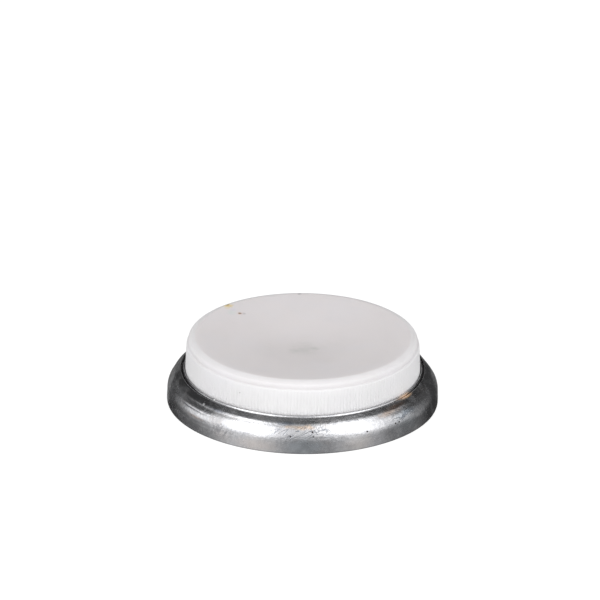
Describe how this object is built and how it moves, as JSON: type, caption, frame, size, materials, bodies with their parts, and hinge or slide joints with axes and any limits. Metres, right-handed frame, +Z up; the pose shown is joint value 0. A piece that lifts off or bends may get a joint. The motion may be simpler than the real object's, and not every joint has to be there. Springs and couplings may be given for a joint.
{
  "type": "round ribbed plastic cap in a metal collar ring",
  "caption": "Round white plastic cap with a dished top and a finely ribbed wall, open below, standing in a pressed metal collar ring with a rolled lip.",
  "frame": {"origin": "middle of the foot, on the plane that cap and ring stand on", "axes": "+Z up along the cap's axis, towards the dished top"},
  "size_m": [0.105, 0.105, 0.0262],
  "materials": {
    "white_plastic": "satin moulded polypropylene with a matte dished top and slight staining",
    "worn_metal": "polished pressed metal, worn, with fine pits, scratches and dull patches"
  },
  "bodies": {
    "root": {"plastic_cap": "white_plastic", "metal_ring": "worn_metal"}
  },
  "joints": []
}
